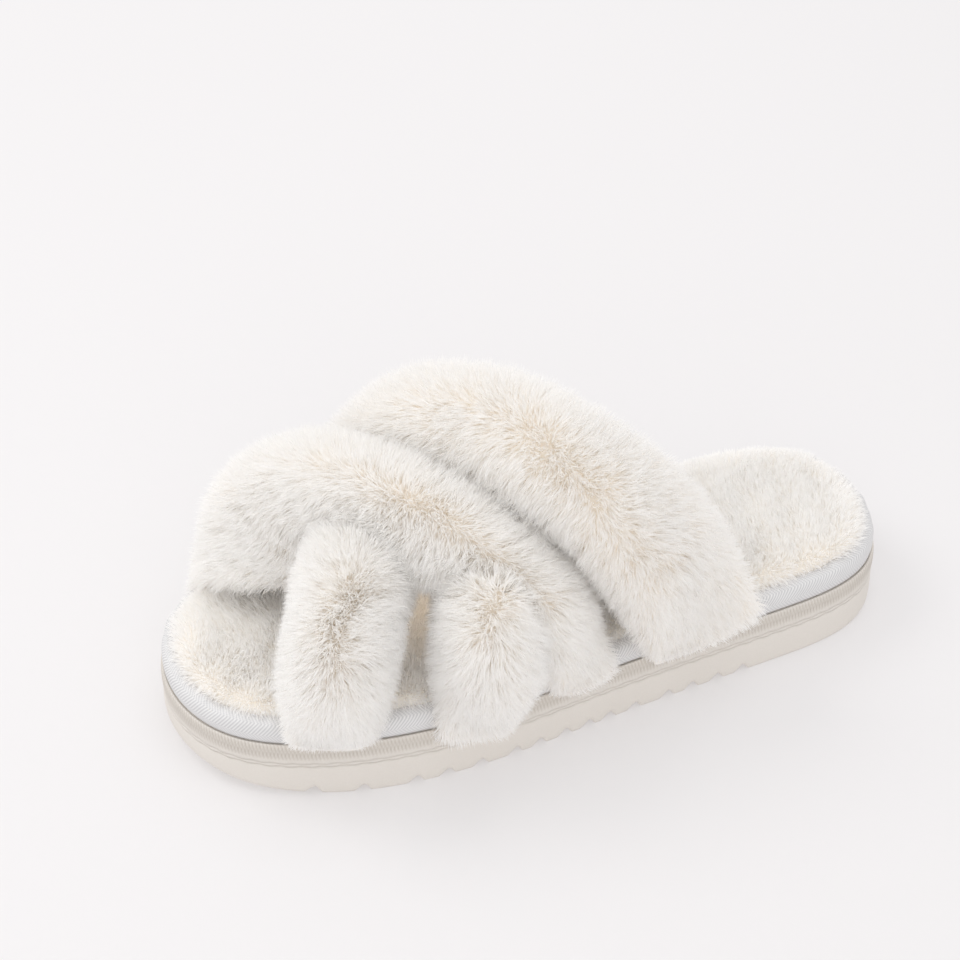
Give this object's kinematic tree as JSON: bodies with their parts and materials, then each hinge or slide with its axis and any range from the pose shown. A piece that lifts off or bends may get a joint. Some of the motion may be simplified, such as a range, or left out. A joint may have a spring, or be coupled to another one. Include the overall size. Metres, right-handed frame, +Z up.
{
  "type": "house slipper",
  "caption": "Open-toe house slipper with crossed fluffy straps, plush footbed, taped edge and a ribbed moulded sole.",
  "frame": {"origin": "centre of the slipper's footprint box, on the floor", "axes": "+Z up, toe towards -Y, heel towards +Y, lateral (outer) side of the left foot towards +X"},
  "size_m": [0.1185, 0.26, 0.11],
  "materials": {
    "outsole_rubber": "matt moulded foam rubber",
    "board": "pressed fibre board",
    "foam": "soft foam",
    "plush": "cream pile",
    "tape": "herringbone twill",
    "thread": "sewing thread",
    "fur": "dense long pile",
    "fibre": "polyester fibre",
    "backing": "woven backing"
  },
  "bodies": {
    "root": {"outsole": "outsole_rubber", "insole_board": "board", "footbed_foam": "foam", "footbed_plush": "plush", "binding_tape": "tape", "binding_stitches": "thread", "front_under_strap_fur": "fur", "front_under_strap_filling": "fibre", "front_under_strap_tabs": "backing", "rear_under_strap_fur": "fur", "rear_under_strap_filling": "fibre", "rear_under_strap_tabs": "backing", "front_over_strap_fur": "fur", "front_over_strap_filling": "fibre", "front_over_strap_tabs": "backing", "rear_over_strap_fur": "fur", "rear_over_strap_filling": "fibre", "rear_over_strap_tabs": "backing"}
  },
  "joints": []
}
